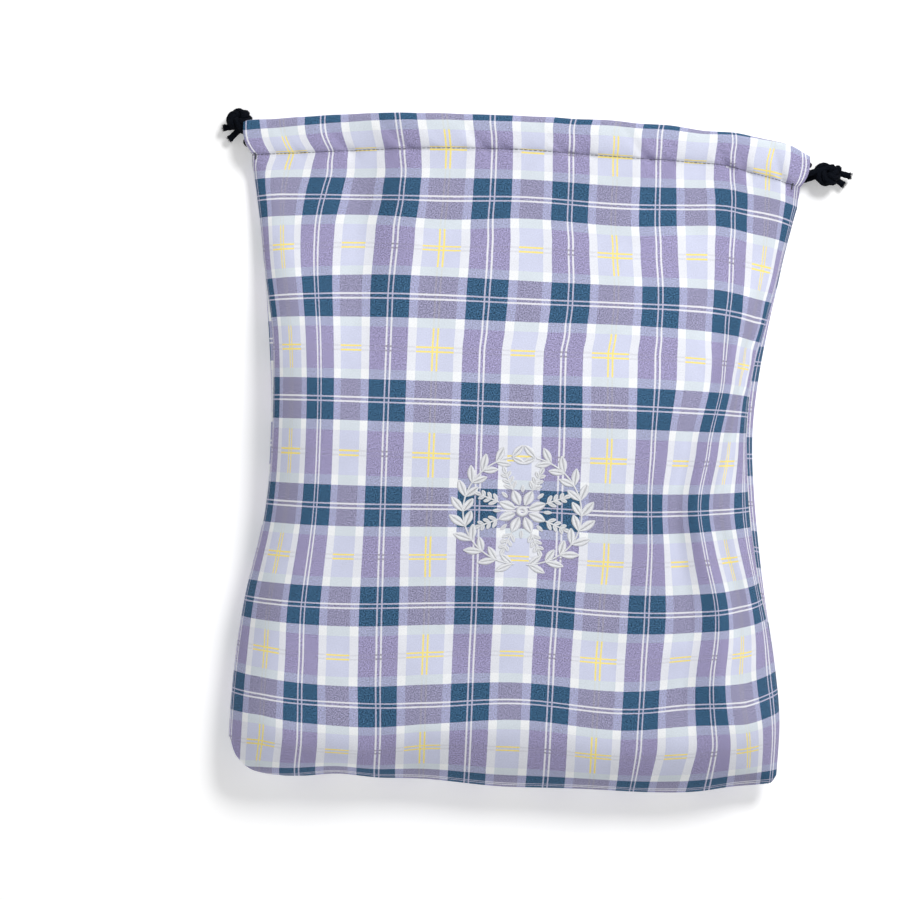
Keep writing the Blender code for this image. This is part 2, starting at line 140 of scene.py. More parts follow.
# how far the rows lift and the columns shift out of true, in mm, at these x on each line of y
WARP_X = (-0.16, -0.105, -0.05, 0.0, 0.07, 0.127, 0.152)
ROW_LIFT = (
    (-0.2105, (-2, -4, 0, -3, -1.5, -3, -3)),
    (-0.1885, (0.6, -7.5, 1.8, 2.6, 0.1, 0.9, -1)),
    (-0.171, (0.5, -5.8, 0.5, 5, 1.2, 3, -1)),
    (-0.16, (0.6, -2.2, 1.4, 5.3, 1.7, 3.7, 0.2)),
    (-0.14, (1, -0.8, 3.5, 6, 2.8, 5.5, 3)),
    (-0.1, (1, 1, 3.5, 5, 1.6, 2.6, 3)),
    (-0.05, (0.5, 0.5, 2, 2.8, 1.3, 3.6, 4)),
    (0.0, (0, 0, 0, 0, 0.3, 0.6, 1.6)),
    (0.058, (0, 0, 0, -0.3, 0, -1, -2)),
    (0.087, (1, 1, 0.6, 0.2, 1, -1, -3)),
    (0.115, (2, 3.3, 2.2, 1, 1.4, 2, 0.5)),
    (0.15, (5, 4, 0, 2.4, 1.5, 5.5, 5)),
    (0.175, (4.5, 1.5, 0.6, 1.8, 1, 4, 5)),
    (0.2015, (0, 0, 0, 0, 0, 0, 0)),
)
COLUMN_SHIFT = (
    (-0.2105, (-1, 1.4, 0.3, -1.5, -1.5, -6, 3)),
    (-0.18, (2.6, 2.8, 0.3, -1, -1.5, 0, 3)),
    (-0.14, (2, 1, 0.3, -0.8, -0.6, 0.3, 1)),
    (-0.1, (0, 0, 0.5, 0, 0.6, 0.3, 0)),
    (-0.06, (0, 0, 0, 0.3, 2.2, -1.2, -1)),
    (-0.02, (0, 0, 0, 0.2, 1.3, -2.6, 0)),
    (0.01, (0, 0, 0, 0, 2, -1, 1)),
    (0.058, (0, 0, 0, 0, 1.6, 4.6, 1)),
    (0.1, (0, 0, 0, 0.3, 0.8, 4, 4)),
    (0.144, (-2.2, 1.6, 2, 2.4, 0.6, 2, 2.6)),
    (0.172, (-2.4, 4.6, 3.6, 3.2, 0.6, 1, 1.6)),
    (0.185, (-1.8, 5.4, 4.2, 3.2, 1, 0, 1)),
    (0.2015, (0.2, 3.4, 4.5, 3.3, 1.2, -0.5, 0)),
)
# the hem is folded a little out of line with the print: (u, how much lower the print lies)
HEM_SKEW = (
    (0.0, -0.002), (0.06, -0.0022), (0.15, -0.0008), (0.2, -0.0002), (0.264, -0.0015), (0.3, -0.0016),
    (0.34, -0.0031), (0.37, -0.0047), (0.406, -0.0058),
)
HEM_SKEW_START = 0.37  # the v where that begins
# and at the fold, where it runs out of line the other way
FOLD_SKEW = (
    (0.0, 0.0102), (0.06, 0.0078), (0.12, 0.0054), (0.2, 0.003), (0.26, 0.0036), (0.33, 0.0022),
    (0.406, -0.0002),
)
# how far right the front's print is pulled at the hem's left end and along the right edge, in mm, at
# these u on each line of v
SLIP_U = (
    -0.003, 0.0125, 0.03, 0.048, 0.0608, 0.08, 0.11,
    0.31, 0.326, 0.3383, 0.351, 0.3687, 0.3866, 0.399, 0.406,
)
PRINT_SLIP = (
    (0.285, (0, 0, 0, 0, 0, 0, 0, 0, 0, 0, 0, 0, 0, 0, 0)),
    (0.3, (0, 0, 0, 0, 0, 0, 0, 0, 0, 0, 0.4, 3, 5.5, 4, 1.5)),
    (0.31, (0, 0, 0, 0, 0, 0, 0, 0, 0, 0, 1.6, 5, 8.5, 5, 2)),
    (0.325, (0, 0, 0, 0, 0, 0, 0, 0, -1.3, 0, 1.8, 2.5, 3, 2, 1)),
    (0.344, (0, 0, 0, 0, 0, 0, 0, 0, -2.2, -1.4, 0.8, 3.5, 6, 4, 1.5)),
    (0.357, (0, 0, 0, 0, 0, 0, 0, 0, -2.2, -1.1, -0.2, 4.6, 4, 3, 1.5)),
    (0.383, (0, 0, 0, 0, 0, 0, 0, 0, -1.1, -0.4, 0.6, 5.5, 8.5, 5.5, 2)),
    (0.405, (0, 0, 0, 0, 0, 0, 0, 0, 0, 1, 1.3, 4.8, 9, 6, 2.5)),
    (0.43, (-0.8, -2, 0.6, 1.1, 1.6, 0, 0, 0, 0, 1.8, 1.8, 4.1, 8, 5.5, 2.5)),
    (0.4485, (-0.6, -0.6, -0.6, 0.6, 0, 0, 0, 0, 0.4, 2, 1.5, 3, 3.4, 3, 2)),
    (0.461, (-2.2, -2.8, -3.8, -3.8, -2.6, -1.4, -0.3, 0, 0, 0, -0.6, 0, 1.3, 2.3, 2.3)),
    (0.475, (-2, -3.2, -2.8, -2, -1, -0.7, 0, 0, -1.6, -2.6, -2, 0, -0.6, 1, 1)),
)
BOTTOM_SKEW, BOTTOM_SKEW_REACH = 0.0055, 0.02  # a little more of the print shows at the bottom seam
HEM_SPREAD, HEM_SPREAD_X, HEM_SPREAD_REACH = 0.0038, 0.163, 0.013  # the right end's columns open out
HEM_SPREAD_START = 0.02  # from this far below the stitching
HEM_BULGE, HEM_BULGE_SHARE = 0.0026, 0.08  # the cords push the hem's ends out, over this share of it
EDGE_SHARE = 0.06  # share of the width next to each side where the columns stop shifting

BELLY = 0.0575  # height of the front where the bag is full
# height of the side edges above the ground: (y, height)
WIDEST = ((-0.212, 0.0205), (-0.06, 0.022), (0.06, 0.0205), (0.14, 0.0125), (0.2, 0.008))
SIDE_RUN, NECK_SIDE_RUN = 0.04, 0.012  # how far in from the sides the front has filled out
SIDE_SWELL = 0.72
NECK_START = 0.0  # the y where the bag begins to thin towards the mouth
CORNER_TURN = 0.001
NECK_BACK = 0.014  # the back lifts off the ground this far below the hem
SLIT = 0.012  # the side seams end this far below the stitching
BACK_RUN = 0.024  # the back rolls up over this much of its width at each side
BACK_ARC = 0.036  # and this much cloth
BACK_BEND = 0.11  # its rows bend within this much cloth of each side
# how far the back panel comes up over each side, in degrees round its edge: (y, angle)
RIGHT_WRAP = ((-0.21, 4), (-0.14, 12), (-0.09, 32), (0.0, 38), (0.09, 36), (0.13, 18), (0.2, 4))
LEFT_WRAP = ((-0.21, 4), (-0.1, 8), (0.02, 20), (0.09, 26), (0.13, 8), (0.2, 4))

HEM_HALF = 0.00425  # half a hem's thickness
HEM_ROUND = 0.75
PINCH = 0.0015  # half of what the stitching leaves of it
SUNK = 0.283  # sine of the angle at which the hem's loop leaves the stitching
MOUTH_END_GAP, MOUTH_GAP = 0.0004, 0.0092  # between the two hems, at the ends and in the middle
MOUTH_HALF_WIDTH, MOUTH_LEVEL_PART = 0.119, 0.07

# soft folds on the front: (height, half-width, ((v, u), ...) along the fold)
FOLDS = (
    (-0.0034, 0.01, ((0.06, 0.318), (0.13, 0.316), (0.2, 0.312), (0.26, 0.318), (0.33, 0.33))),
    (0.0026, 0.009, ((0.07, 0.345), (0.14, 0.342), (0.205, 0.336), (0.27, 0.344), (0.35, 0.352))),
    (-0.003, 0.009, ((0.08, 0.372), (0.15, 0.368), (0.21, 0.362), (0.28, 0.372), (0.34, 0.378))),
    (-0.0022, 0.014, ((0.1, 0.262), (0.16, 0.262), (0.215, 0.268), (0.25, 0.282))),
    (-0.002, 0.01, ((0.11, 0.158), (0.17, 0.16), (0.22, 0.17))),
    (0.0018, 0.012, ((0.12, 0.186), (0.18, 0.188), (0.23, 0.18))),
    (-0.002, 0.012, ((0.33, 0.09), (0.38, 0.092), (0.44, 0.076))),
    (0.0016, 0.012, ((0.33, 0.118), (0.39, 0.116), (0.44, 0.106))),
    (-0.002, 0.011, ((0.02, 0.292), (0.05, 0.3), (0.085, 0.312))),
    (-0.0016, 0.011, ((0.015, 0.12), (0.05, 0.112), (0.09, 0.098))),
)

FOLD_TAIL, FOLD_FADE = 0.03, 0.045  # a fold runs on past its ends, and how long it takes to fade in
CREASE_END = 0.03  # folds stop this far below the stitching
# unevenness of the front and of the hems' folds: height and size of its waves
SWELLS, SWELL_SIZE = 0.0016, 0.085
RIPPLES, RIPPLE_SIZE = 0.0009, 0.034
FOLD_WANDER, FOLD_WAVE = 0.0007, 0.021

# diagonal drags in the hem, just above the stitching: u of each
HEM_DRAGS = (0.036, 0.074, 0.118, 0.168, 0.182, 0.222, 0.238, 0.279, 0.293, 0.336, 0.352, 0.388)
DRAG_DEPTH, DRAG_WIDTH, DRAG_REACH = 0.0026, 0.0036, 0.012
DRAG_REACH_BELOW = 0.4  # share of that reach below the stitching
# small puckers along the stitching: height, size and reach of the fine and the broad ones
FINE_PUCKER, FINE_SIZE, FINE_REACH = 0.001, 0.0058, 0.007
BROAD_PUCKER, BROAD_SIZE, BROAD_REACH = 0.0017, 0.015, 0.015
BACK_PUCKER = 0.3  # the back's are weaker

# ---- drawcords, close to the frame's design ----
CORD_R = 0.0018
# where each cord lies between stitching (0) and fold (1), in the front and the back hem
RIGHT_LANES, LEFT_LANES = (0.46, 0.28), (0.74, 0.74)
PULL_LENGTH = 0.06  # of an end's strand that lies inside the hem at rest
BEND_TUCK = 0.0022  # how far a cord's bend is drawn back into the end of the hem
BRAID_STRANDS = 6
BRAID_PITCH = 0.0032
FRAY_LENGTH, FRAY_WIDTH = 0.0022, 1.18  # a cut tip opens out over this length, to this share of its width


def smooth(stations, at):
    """Values at an array of positions on the smooth curve through (position, value) stations."""
    places = np.array([s[0] for s in stations])
    values = np.array([s[1] for s in stations], float)
    slopes = np.gradient(values, places)
    at = np.clip(np.asarray(at, float), places[0], places[-1])
    i = np.clip(np.searchsorted(places, at) - 1, 0, len(places) - 2)
    step = places[i + 1] - places[i]
    q = (at - places[i]) / step
    start = (2 * q**3 - 3 * q**2 + 1) * values[i] + (q**3 - 2 * q**2 + q) * step * slopes[i]
    end = (3 * q**2 - 2 * q**3) * values[i + 1] + (q**3 - q**2) * step * slopes[i + 1]
    return start + end


def unit(q):
    """q held between 0 and 1."""
    return np.clip(q, 0, 1)


def ease(q):
    q = unit(q)
    return q * q * (3 - 2 * q)


def mix(a, b, q):
    return a + (b - a) * q


def normed(vectors):
    """The vectors along the last axis, at length 1."""
    return vectors / np.linalg.norm(vectors, axis=-1, keepdims=True)


def field(x, y, scale, seed):
    """Smooth noise from -1 to 1 over two arrays."""
    x, y = np.broadcast_arrays(np.asarray(x, float), np.asarray(y, float))
    flat = [noise.noise((a / scale, b / scale, seed)) for a, b in zip(x.ravel(), y.ravel())]
    return np.array(flat).reshape(x.shape)


# ---- the shape of the filled-out bag ----


def hem_angle(v):
    """Angle round the hem's loop, from the stitching at about 0 over the fold at pi."""
    start = math.asin(SUNK)
    return start + (math.pi - start) * np.clip((v - PANEL) / HEM_LEAF, 0, 2)


def hem_along(angle):
    """How far the loop has come from the stitching (0) to the fold (1), seen from above."""
    start = math.asin(SUNK)
    floor = (1 - math.cos(start)) / 2
    return ((1 - np.cos(angle)) / 2 - floor) / (1 - floor)


def column_x(u, left, right, left_power, right_power):
    """x of a flat column u between the bag's edges: even in the middle, closing up at the sides."""
    level = smooth(COLUMNS, u)
    inner_left, inner_right = smooth(COLUMNS, LEFT_INNER), smooth(COLUMNS, RIGHT_INNER)
    level_left, level_right = smooth(COLUMNS, CUT_LEFT), smooth(COLUMNS, CUT_RIGHT)
    q_right = unit((level - inner_right) / (level_right - inner_right))
    q_left = unit((inner_left - level) / (inner_left - level_left))
    x_right = inner_right + (right - inner_right) * (1 - (1 - q_right) ** right_power)
    x_left = inner_left - (inner_left - left) * (1 - (1 - q_left) ** left_power)
    x = np.where(u > RIGHT_INNER, x_right, np.where(u < LEFT_INNER, x_left, level))
    return x, q_left, q_right


def mouth_mid(x):
    """Height of the front hem's middle: the mouth stands a little open."""
    open_share = 1 - ease((np.abs(x) - MOUTH_LEVEL_PART) / (MOUTH_HALF_WIDTH - MOUTH_LEVEL_PART))
    return 3 * HEM_HALF + mix(MOUTH_END_GAP, MOUTH_GAP, open_share)


def swell(distance, run):
    """How far the cloth has filled out, at a distance in from a side."""
    return np.sin(math.pi / 2 * unit(distance / run) ** SIDE_SWELL)


def warp(table, x, y, stations=WARP_X):
    """Smooth value over the bag, in metres, from a table in mm."""
    lines = [smooth(tuple(zip(stations, values)), x) / 1000 for _, values in table]
    levels = [line[0] for line in table]
    at = np.clip(y, levels[0], levels[-1])
    total = 0 * at
    for i, (low, high) in enumerate(zip(levels, levels[1:])):
        inside = (at >= low) & (at <= high)
        q = ease((at - low) / (high - low))
        total = np.where(inside, mix(lines[i], lines[i + 1], q), total)
    return total


def plan_y(x, v, q_left, q_right):
    """y of a point of the cloth, from its flat height and where it lies across the bag."""
    y = smooth(ROWS, v)
    bottom = smooth(BOTTOM_EDGE, x) - ROWS[0][1]
    top = smooth(HEM_STITCH, x) - smooth(HEM_STITCH, 0.0)
    bend = smooth(RIGHT_BEND, y) * q_right**BEND_POWER + smooth(LEFT_BEND, y) * q_left**BEND_POWER
    lift = warp(ROW_LIFT, x, y) + bend
    y = y + lift + bottom * (1 - ease(v / BOTTOM_REACH)) + top * ease((v - TOP_START) / (PANEL - TOP_START))
    past = (y - smooth(CORNERS, x)) / CORNER_TURN
    return y + CORNER_TURN * (np.logaddexp(0, past) - past)


def creases(u, v):
    """Height of the folds and of the soft unevenness of the front, on the flat cloth."""
    z = SWELLS * field(u, v, SWELL_SIZE, 3.1) + RIPPLES * field(u, v * 0.8, RIPPLE_SIZE, 7.7)
    for height, width, path in FOLDS:
        low, high = path[0][0], path[-1][0]
        line = smooth(path, v)
        fade = ease((v - low + FOLD_TAIL) / FOLD_FADE) * ease((high + FOLD_TAIL - v) / FOLD_FADE)
        z = z + height * fade * np.exp(-(((u - line) / width) ** 2))
    return z


def puckers(u, v):
    """Small drag lines that the stitching pulls into the cloth."""
    away = np.abs(v - PANEL)
    lean = np.where(v > PANEL, 0.9, -0.25) * (v - PANEL)
    fine = field(u + lean, v * 0.22, FINE_SIZE, 11.0) * FINE_PUCKER
    broad = field(u + lean * 1.2, v * 0.30, BROAD_SIZE, 13.0) * BROAD_PUCKER
    drags = 0 * v
    for i, at in enumerate(HEM_DRAGS):
        off = u - at + (0.75 + 0.15 * (i % 3)) * (v - PANEL)
        drags = drags - DRAG_DEPTH * (0.7 + 0.3 * (i % 2)) * np.exp(-((off / DRAG_WIDTH) ** 2))
    drags = drags * np.exp(-away / np.where(v > PANEL, DRAG_REACH, DRAG_REACH_BELOW * DRAG_REACH))
    return drags + fine * np.exp(-away / FINE_REACH) + broad * np.exp(-away / BROAD_REACH)


def cloth_point(u, v, side):
    """Where points of a flat panel lie. side is 1 for the front and -1 for the back."""
    u, v = np.broadcast_arrays(np.asarray(u, float), np.asarray(v, float))
    on_panel = np.minimum(v, PANEL)
    angle = hem_angle(v)
    along = np.where(v > PANEL, hem_along(angle), 0.0)
    middle_y = smooth(ROWS, on_panel)
    left = mix(smooth(LEFT_SIDE, middle_y), HEM_FOLD[0][0], along)
    right = mix(smooth(RIGHT_SIDE, middle_y), HEM_FOLD[-1][0], along)
    wrap_left = np.radians(smooth(LEFT_WRAP, middle_y))
    wrap_right = np.radians(smooth(RIGHT_WRAP, middle_y))
    seam_left = left + BACK_RUN * (1 - np.cos(wrap_left))
    seam_right = right - BACK_RUN * (1 - np.cos(wrap_right))
    widest = smooth(WIDEST, middle_y)
    if side > 0:
        x, q_left, q_right = column_x(
            u, seam_left, seam_right, smooth(LEFT_ROLL, middle_y), smooth(RIGHT_ROLL, middle_y)
        )
    else:
        from_left, from_right = u - CUT_LEFT, CUT_RIGHT - u
        turn_left = -wrap_left + (math.pi / 2 + wrap_left) * unit(from_left / BACK_ARC)
        turn_right = -wrap_right + (math.pi / 2 + wrap_right) * unit(from_right / BACK_ARC)
        inner = (from_left - BACK_ARC) / (CUT_RIGHT - CUT_LEFT - 2 * BACK_ARC)
        level = mix(left + BACK_RUN, right - BACK_RUN, unit(inner))
        x = np.where(from_left < BACK_ARC, left + BACK_RUN * (1 - np.cos(turn_left)), level)
        x = np.where(from_right < BACK_ARC, right - BACK_RUN * (1 - np.cos(turn_right)), x)
        q_left = unit(1 - from_left / BACK_BEND)
        q_right = unit(1 - from_right / BACK_BEND)
    x_share = unit((x - left) / (right - left))
    to_side = np.minimum(x_share, 1 - x_share)
    if side > 0:
        shift = warp(COLUMN_SHIFT, x, middle_y) * (1 - along)
        x = x + shift * np.minimum(1, to_side / EDGE_SHARE)
        opened = np.exp(-(((x - HEM_SPREAD_X) / HEM_SPREAD_REACH) ** 2))
        x = x + HEM_SPREAD * opened * ease((v - PANEL + HEM_SPREAD_START) / HEM_SPREAD_START)
        near_end = unit(1 - to_side / HEM_BULGE_SHARE) ** 2
        bulge = np.sin(math.pi * along**0.8) * unit(np.sin(angle) * 3) * (v > PANEL)
        x = x + np.sign(x) * HEM_BULGE * near_end * bulge
    stitch_x = mix(HEM_STITCH[0][0], HEM_STITCH[-1][0], x_share)
    fold_x = mix(HEM_FOLD[0][0], HEM_FOLD[-1][0], x_share)
    fold_y = smooth(HEM_FOLD, fold_x) + FOLD_WANDER * field(fold_x, 0 * u, FOLD_WAVE, 5.0 + side)
    panel_y = plan_y(x, on_panel, q_left, q_right)
    y = np.where(v > PANEL, mix(panel_y, fold_y, along), panel_y)

    neck = ease((y - NECK_START) / (smooth(HEM_STITCH, x) - NECK_START))
    run = mix(SIDE_RUN, NECK_SIDE_RUN, neck)
    bottom_swell = np.sin(math.pi / 2 * unit(on_panel / BOTTOM_ARC))
    mid = mouth_mid(stitch_x) if side > 0 else HEM_HALF
    to_slit = ease((on_panel - PANEL + SLIT) / SLIT)
    if side > 0:
        filled = swell(x - seam_left, run) * swell(seam_right - x, run) * bottom_swell
        lift = np.sin(np.where(x_share < 0.5, wrap_left, wrap_right)) * bottom_swell
        base = widest * (1 + lift)
        crest = mix(BELLY, mid + PINCH, neck)
        base = mix(base, crest, to_slit)
        z = mix(base, crest, filled)
        folds = creases(u, v) * (1 - ease((v - PANEL + CREASE_END) / CREASE_END))
        z = z + (folds + puckers(u, v)) * unit(filled * 1.6)
    else:
        down = np.sin(np.clip(turn_left, 0, None)) * np.sin(np.clip(turn_right, 0, None)) * bottom_swell
        up = np.sin(np.clip(-np.where(x_share < 0.5, turn_left, turn_right), 0, None))
        base = widest * (1 + up * bottom_swell)
        rest = mix(0.0, mid - PINCH, ease((y - smooth(HEM_STITCH, x) + NECK_BACK) / NECK_BACK))
        base = mix(base, rest, to_slit)
        z = mix(base, rest, np.where(base > widest, 0, down))
    round_hem = np.sign(np.sin(angle)) * np.abs(np.sin(angle)) ** HEM_ROUND * HEM_HALF
    hem_z = mid + side * round_hem + puckers(u, v) * (1 if side > 0 else BACK_PUCKER)
    tucked = mid - side * PINCH
    z = np.where(v > PANEL, hem_z, z)
    past = v > PANEL + 2 * HEM_LEAF
    y = np.where(past, y - (v - PANEL - 2 * HEM_LEAF), y)
    z = np.where(past, tucked, z)
    z = np.maximum(z, np.where(v > PANEL, CLOTH_THICK, 0.0))
    return np.stack([x, y, z], axis=-1)


def cloth_frame(u, v, side=1):
    """Points and outward normals of the cloth, for things that lie on it."""
    step = 0.0004
    p = cloth_point(u, v, side)
    du = cloth_point(u + step, v, side) - cloth_point(u - step, v, side)
    dv = cloth_point(u, v + step, side) - cloth_point(u, v - step, side)
    return p, normed(np.cross(du, dv)) * side


# ---- materials ----


class Nodes:
    """Short calls for building a node material."""

    def __init__(self, name, roughness=0.9):
        self.material = bpy.data.materials.new(name)
        self.material.use_nodes = True
        self.tree = self.material.node_tree
        self.shader = self.tree.nodes["Principled BSDF"]
        self.shade("Roughness", roughness)

    def node(self, kind, **settings):
        made = self.tree.nodes.new(kind)
        for key, value in settings.items():
            setattr(made, key, value)
        return made

    def put(self, socket, value):
        """Link an output to a socket, or set the socket to a number or an RGB colour."""
        if isinstance(value, bpy.types.NodeSocket):
            self.tree.links.new(value, socket)
        else:
            socket.default_value = (*value, 1.0) if isinstance(value, tuple) else value

    def feed(self, made, **values):
        for name, value in values.items():
            self.put(made.inputs[name], value)

    def shade(self, name, value):
        self.put(self.shader.inputs[name], value)

    def math(self, operation, *values):
        made = self.node("ShaderNodeMath", operation=operation)
        for socket, value in zip(made.inputs, values):
            self.put(socket, value)
        return made.outputs[0]

    def blend(self, share, a, b, kind="MIX"):
        made = self.node("ShaderNodeMix", data_type="RGBA", blend_type=kind)
        self.feed(made, Factor=share, A=a, B=b)
        return made.outputs["Result"]

    def noise(self, vector, scale, detail=2.0, roughness=0.5):
        made = self.node("ShaderNodeTexNoise")
        self.feed(made, Vector=vector, Scale=scale, Detail=detail, Roughness=roughness)
        return made.outputs["Fac"]

    def span(self, value, low, high, to_low, to_high):
        made = self.node("ShaderNodeMapRange")
        for socket, v in zip(made.inputs, (value, low, high, to_low, to_high)):
            self.put(socket, v)
        return made.outputs[0]

    def bump(self, height, strength, distance):
        made = self.node("ShaderNodeBump")
        self.feed(made, Strength=strength, Distance=distance, Height=height)
        self.shade("Normal", made.outputs["Normal"])


def srgb(r, g, b):
    """Linear colour from the 0 to 255 values that a screen shows."""
    parts = []
    for c in (r, g, b):
        c /= 255
        parts.append(c / 12.92 if c <= 0.04045 else ((c + 0.055) / 1.055) ** 2.4)
    return tuple(parts)


TEAL = srgb(59, 95, 127)
TEAL_LINE = srgb(196, 194, 218)
BAND_RIM = srgb(171, 175, 205)
BAND_MID = srgb(161, 155, 193)
ROW_RIM_TONE = srgb(172, 174, 207)
ROW_MID = srgb(153, 151, 181)
WHITE = srgb(248, 250, 252)
PALE_ROW = srgb(236, 238, 246)
PALE_COLUMN = srgb(220, 228, 236)
LAVENDER = srgb(213, 217, 239)
FINE_WHITE = srgb(240, 240, 246)
YELLOW = srgb(255, 236, 140)
OLIVE = srgb(158, 154, 164)
FAINT_YELLOW = srgb(214, 206, 150)
CROSSING_ROW, CROSSING_COLUMN = 0.16, 0.12  # strength of the yellow pairs beyond the light middles
FINE_LINES, CUT_LINES = 0.92, 0.85


def check_colour(m, u, v):
    """The printed check as one colour, from the flat cloth's u and v."""

    def from_middle(value, middle, repeat):
        shifted = m.math("SUBTRACT", value, middle)
        return m.math("ABSOLUTE", m.math("WRAP", shifted, repeat / 2, -repeat / 2))

    def within(distance, half):
        return m.math("LESS_THAN", distance, half)

    def pair(distance, half):
        return m.math("COMPARE", distance, PAIR, half)

    wide_mid = (BAND + WIDE_LIGHT) / 2
    plain_mid = BAND + WIDE_LIGHT
    narrow_mid = plain_mid + (BAND + NARROW_LIGHT) / 2
    dotted = from_middle(u, 0.0, REPEAT_U)
    plain = from_middle(u, plain_mid, REPEAT_U)
    wide = from_middle(u, wide_mid, REPEAT_U)
    narrow = from_middle(u, narrow_mid, REPEAT_U)
    dark_row = from_middle(v, 0.0, REPEAT_V)
    light_row = from_middle(v, REPEAT_V / 2, REPEAT_V)

    in_dotted = within(dotted, BAND / 2)
    in_band = m.math("MAXIMUM", in_dotted, within(plain, BAND / 2))
    in_column_mid = m.math(
        "MAXIMUM", within(wide, WIDE_LIGHT / 2 - RIM), within(narrow, NARROW_LIGHT / 2 - RIM)
    )
    in_dark_row = within(dark_row, DARK_ROW / 2)
    in_row_mid = within(light_row, (REPEAT_V - DARK_ROW) / 2 - ROW_RIM)

    band = m.blend(in_row_mid, BAND_RIM, BAND_MID)
    band = m.blend(in_dark_row, band, TEAL)
    rim = m.blend(in_row_mid, WHITE, PALE_ROW)
    rim = m.blend(in_dark_row, rim, ROW_RIM_TONE)
    middle = m.blend(in_row_mid, PALE_COLUMN, LAVENDER)
    middle = m.blend(in_dark_row, middle, ROW_MID)
    light = m.blend(in_column_mid, rim, middle)
    colour = m.blend(in_band, light, band)

    # yellow pairs: strong where two light middles meet, faint beyond
    row_pair = pair(light_row, YELLOW_HALF)
    column_pair = pair(wide, YELLOW_HALF)
    strong = m.math("MULTIPLY", in_column_mid, in_row_mid)
    either = m.math("MAXIMUM", row_pair, column_pair)
    colour = m.blend(m.math("MULTIPLY", either, strong), colour, YELLOW)
    for line, inside, strength, tone in (
        (row_pair, in_column_mid, CROSSING_ROW, OLIVE),
        (column_pair, in_row_mid, CROSSING_COLUMN, FAINT_YELLOW),
    ):
        beyond = m.math("MULTIPLY", line, m.math("SUBTRACT", 1.0, inside))
        colour = m.blend(m.math("MULTIPLY", beyond, strength), colour, tone)

    # fine white pairs along the dark rows and the dark columns
    on_teal = m.math("MULTIPLY", in_band, in_dark_row)
    half = m.span(on_teal, 0.0, 1.0, PAIR_HALF, TEAL_PAIR_HALF)
    white_row = m.math("MULTIPLY", pair(dark_row, half), in_dark_row)
    white_column = m.math("MAXIMUM", pair(dotted, half), pair(plain, half))
    lines = m.math("MAXIMUM", white_row, white_column)
    tone = m.blend(on_teal, FINE_WHITE, TEAL_LINE)
    colour = m.blend(m.math("MULTIPLY", lines, FINE_LINES), colour, tone)
    # in the dotted columns the light row's pair cuts the white lines into dots
    cut = m.math("MULTIPLY", row_pair, pair(dotted, PAIR_HALF))
    return m.blend(m.math("MULTIPLY", cut, CUT_LINES), colour, OLIVE)


def plaid(name, shift_u, shift_v, faded):
    """The printed cloth. faded is the inside, where the print shows through only weakly."""
    m = Nodes(name, 0.88)
    flat = m.node("ShaderNodeUVMap", uv_map="flat").outputs["UV"]
    parts = m.node("ShaderNodeSeparateXYZ")
    m.put(parts.inputs[0], flat)
    u = m.math("ADD", parts.outputs["X"], shift_u)
    v = m.math("ADD", parts.outputs["Y"], shift_v)
    # the print's edges wander by a fraction of a thread
    wander = m.span(m.noise(flat, 900.0, 1.0), 0.0, 1.0, -0.00022, 0.00022)
    u = m.math("ADD", u, wander)
    v = m.math("ADD", v, wander)
    colour = check_colour(m, u, v)
    # the print takes unevenly: specks show in the dark colours and hardly in the pale ones
    lightness = m.node("ShaderNodeRGBToBW")
    m.put(lightness.inputs[0], colour)
    depth = m.span(lightness.outputs[0], 0.06, 0.62, 1.7, 0.12)
    specks = m.span(m.noise(flat, 1250.0, 2.0, 0.85), 0.26, 0.74, -1.0, 1.0)
    patches = m.span(m.noise(flat, 55.0, 3.0, 0.6), 0.3, 0.7, 0.97, 1.03)
    grain = m.math("MULTIPLY", m.math("MULTIPLY_ADD", specks, depth, 1.0), patches)
    grey = m.node("ShaderNodeCombineColor")
    for socket in grey.inputs:
        m.put(socket, grain)
    colour = m.blend(1.0, colour, grey.outputs[0], "MULTIPLY")
    if faded:
        colour = m.blend(0.62, colour, srgb(232, 233, 240))
    m.shade("Base Color", colour)
    m.shade("Sheen Weight", 0.03)
    m.shade("Sheen Roughness", 0.5)
    m.shade("Specular IOR Level", 0.12)
    # plain weave, about 26 threads to the centimetre each way
    pitch = 2 * math.pi / 0.00078
    lengthwise = m.math("SINE", m.math("MULTIPLY", parts.outputs["X"], pitch))
    crosswise = m.math("SINE", m.math("MULTIPLY", parts.outputs["Y"], pitch))
    weave = m.math("MULTIPLY", lengthwise, crosswise)
    slub = m.noise(flat, 620.0, 3.0, 0.7)
    height = m.math("ADD", m.math("MULTIPLY", weave, 0.35), slub)
    m.bump(height, 0.35, 0.00025)
    rough = m.span(m.noise(flat, 400.0, 2.0), 0.3, 0.7, 0.82, 0.94)
    m.shade("Roughness", rough)
    return m.material


def thread_material(name, colour, dark, roughness, scale, sheen, specular=0.5):
    """Twisted thread: fine plies across the object, a little uneven in tone."""
    m = Nodes(name, roughness)
    where = m.node("ShaderNodeTexCoord").outputs["Object"]
    tone = m.span(m.noise(where, scale, 3.0, 0.7), 0.3, 0.7, 0.0, 1.0)
    m.shade("Base Color", m.blend(tone, dark, colour))
    m.shade("Sheen Weight", sheen)
    m.shade("Specular IOR Level", specular)
    m.bump(m.noise(where, scale * 1.7, 2.0, 0.6), 0.5, 0.0002)
    return m.material


# ---- mesh helpers ----


def add_object(name, data):
    obj = bpy.data.objects.new(name, data)
    bpy.context.scene.collection.objects.link(obj)
    return obj


